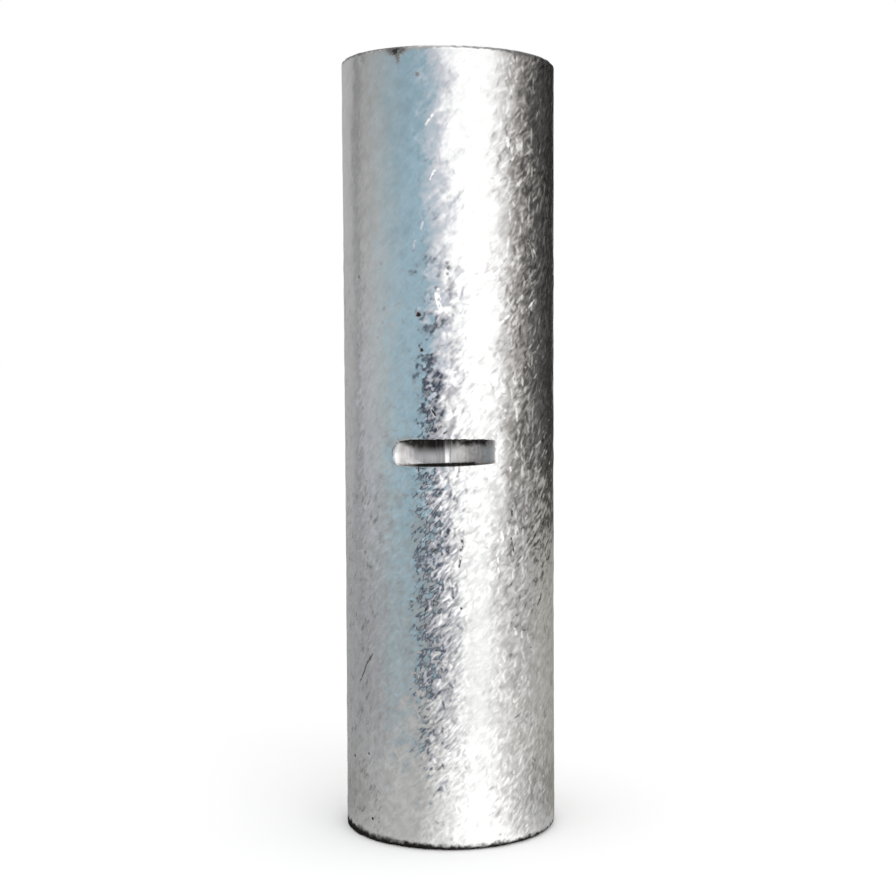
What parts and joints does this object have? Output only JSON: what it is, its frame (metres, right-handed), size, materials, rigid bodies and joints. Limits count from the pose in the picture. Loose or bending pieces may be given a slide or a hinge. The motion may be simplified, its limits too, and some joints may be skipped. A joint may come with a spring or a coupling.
{
  "type": "compression splice",
  "caption": "Tinned copper compression splice: a straight tube open at both ends, with a punched stake at mid length whose stop lets each conductor go in half way.",
  "frame": {"origin": "centre of the lower end face", "axes": "+Z along the tube towards the upper end, -Y towards the punched stake"},
  "size_m": [0.019, 0.019, 0.0685],
  "materials": {
    "tin_plate": "satin"
  },
  "bodies": {
    "root": {"splice_sleeve": "tin_plate"}
  },
  "joints": []
}
